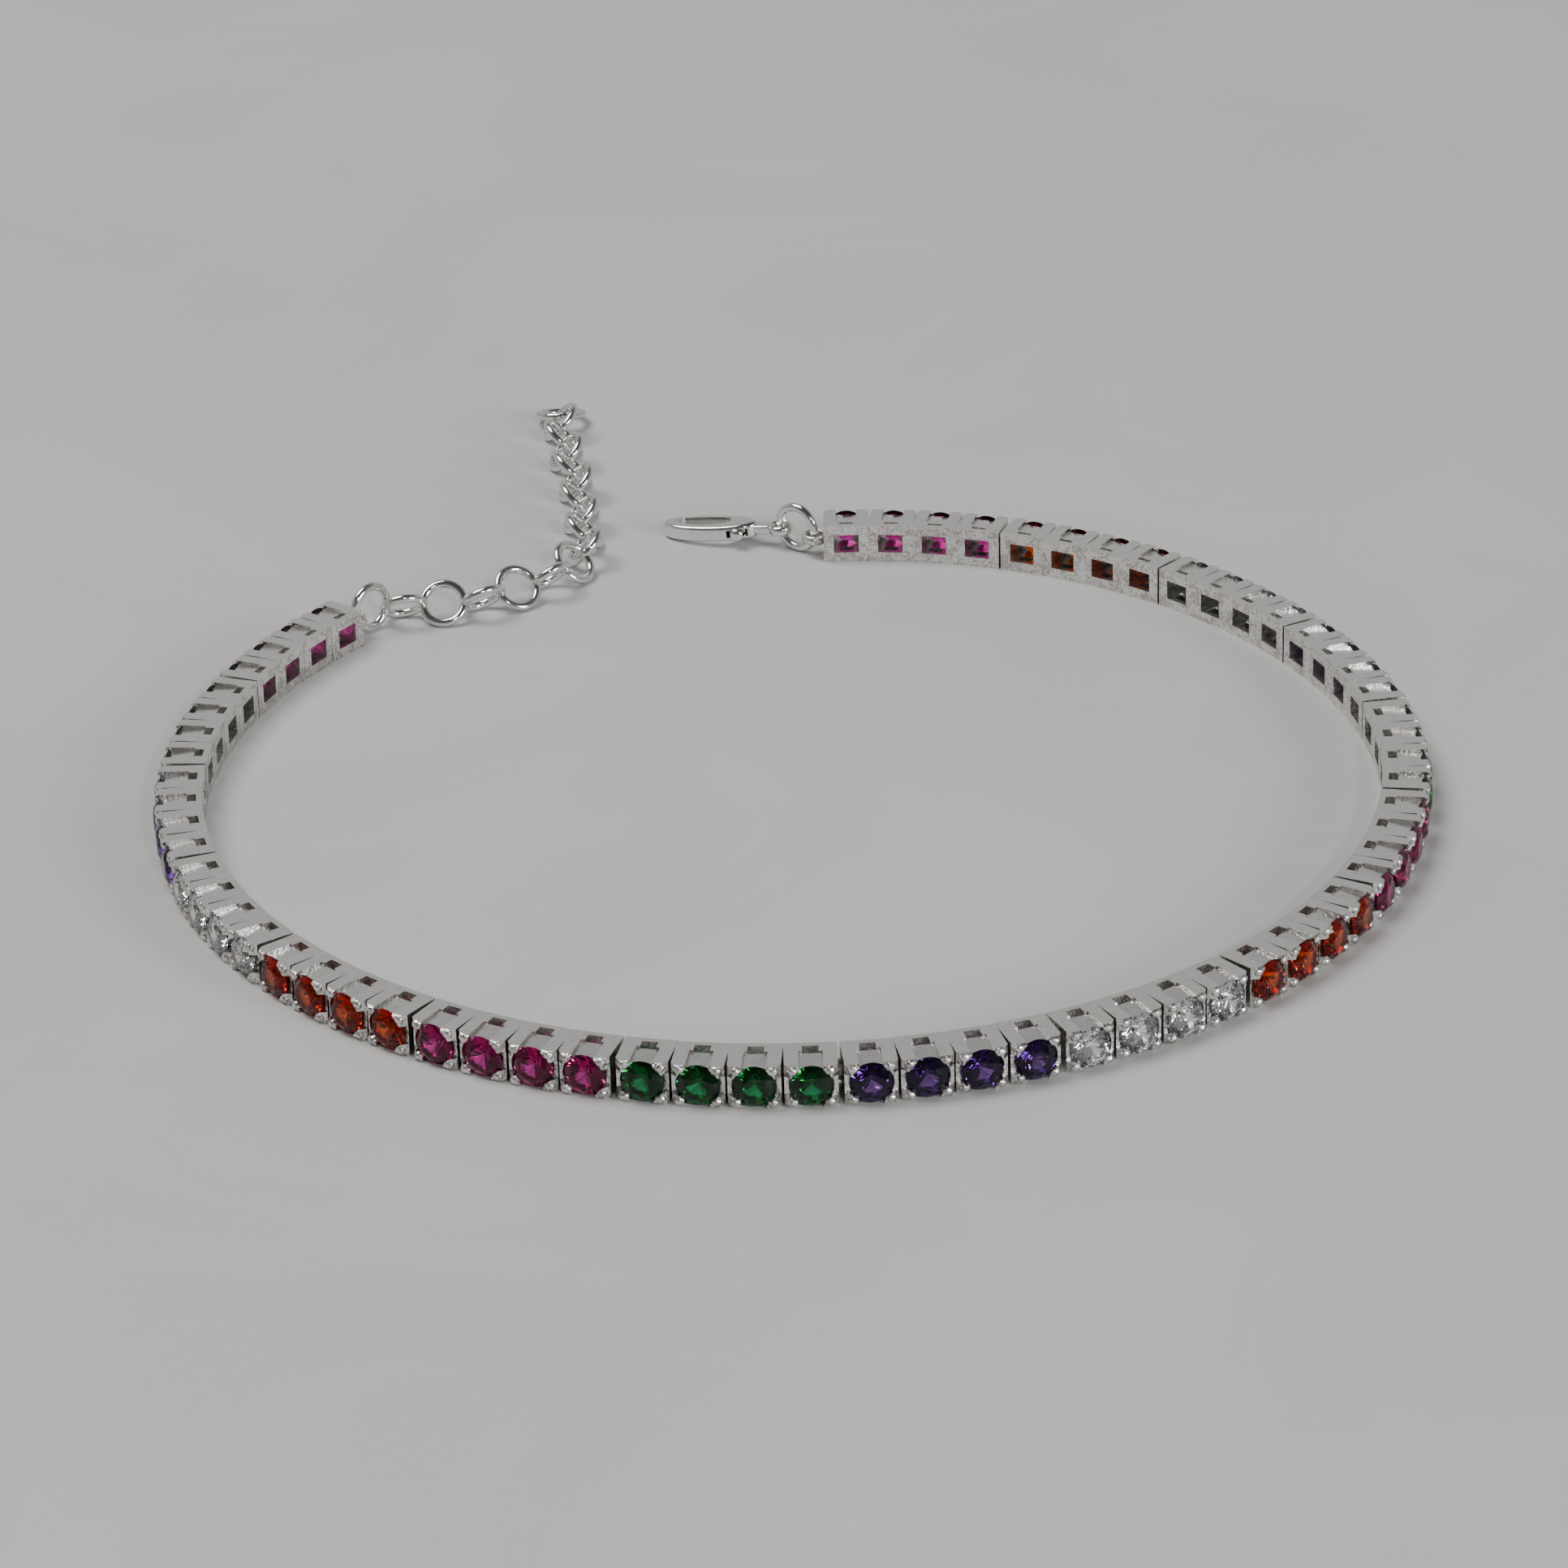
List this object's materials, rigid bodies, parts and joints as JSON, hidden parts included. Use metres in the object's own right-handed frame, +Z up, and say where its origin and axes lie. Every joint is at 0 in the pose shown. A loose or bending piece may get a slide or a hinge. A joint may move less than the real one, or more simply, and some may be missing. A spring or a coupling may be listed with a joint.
{
  "type": "tennis bracelet",
  "caption": "Flexible line bracelet of square silver box links set with round stones in colour groups, with a sprung lobster clasp and an extension chain, lying open on its edge.",
  "frame": {"origin": "under the middle of the outline of the whole bracelet as it lies, on the surface that it rests on", "axes": "+Z up, away from the surface; the line of stones stands on its edge, its clasp and chain towards +Y, the chain's tail towards +Y on the -X side"},
  "size_m": [0.0616, 0.079, 0.0027],
  "materials": {
    "cast_silver": "bright rhodium-plated silver, cast, with slightly rough side walls",
    "polished_silver": "polished rhodium-plated silver",
    "silver_wire": "polished drawn silver wire",
    "red_stone": "deep ruby red, round brilliant cut, polished",
    "orange_stone": "orange red, round brilliant cut, polished",
    "clear_stone": "colourless, round brilliant cut, polished",
    "violet_stone": "violet blue, round brilliant cut, polished",
    "green_stone": "emerald green, round brilliant cut, polished"
  },
  "bodies": {
    "bracelet": {"stone_line_clasp_half": "cast_silver", "stone_line_chain_half": "cast_silver", "clasp_ring": "silver_wire", "clasp_body": "polished_silver", "chain_ring": "silver_wire", "chain_link_01": "silver_wire", "chain_link_02": "silver_wire", "chain_link_03": "silver_wire", "chain_link_04": "silver_wire", "chain_link_05": "silver_wire", "chain_link_06": "silver_wire", "chain_link_07": "silver_wire", "chain_link_08": "silver_wire", "chain_link_09": "silver_wire", "chain_link_10": "silver_wire", "chain_link_11": "silver_wire", "chain_link_12": "silver_wire", "chain_link_13": "silver_wire", "chain_link_14": "silver_wire", "chain_link_15": "silver_wire", "chain_end_ring": "silver_wire"},
    "lever": {"clasp_lever": "polished_silver"}
  },
  "joints": [
    {"name": "lever_hinge", "type": "hinge", "parent": "bracelet", "child": "lever", "pos_m": [-0.00227, 0.02134, 0.00082], "axis": [-0.0882, 0.0256, 0.9958], "range_deg": [0, 13], "stiffness_Nm_per_rad": 0.002, "springref_deg": -20.05}
  ]
}
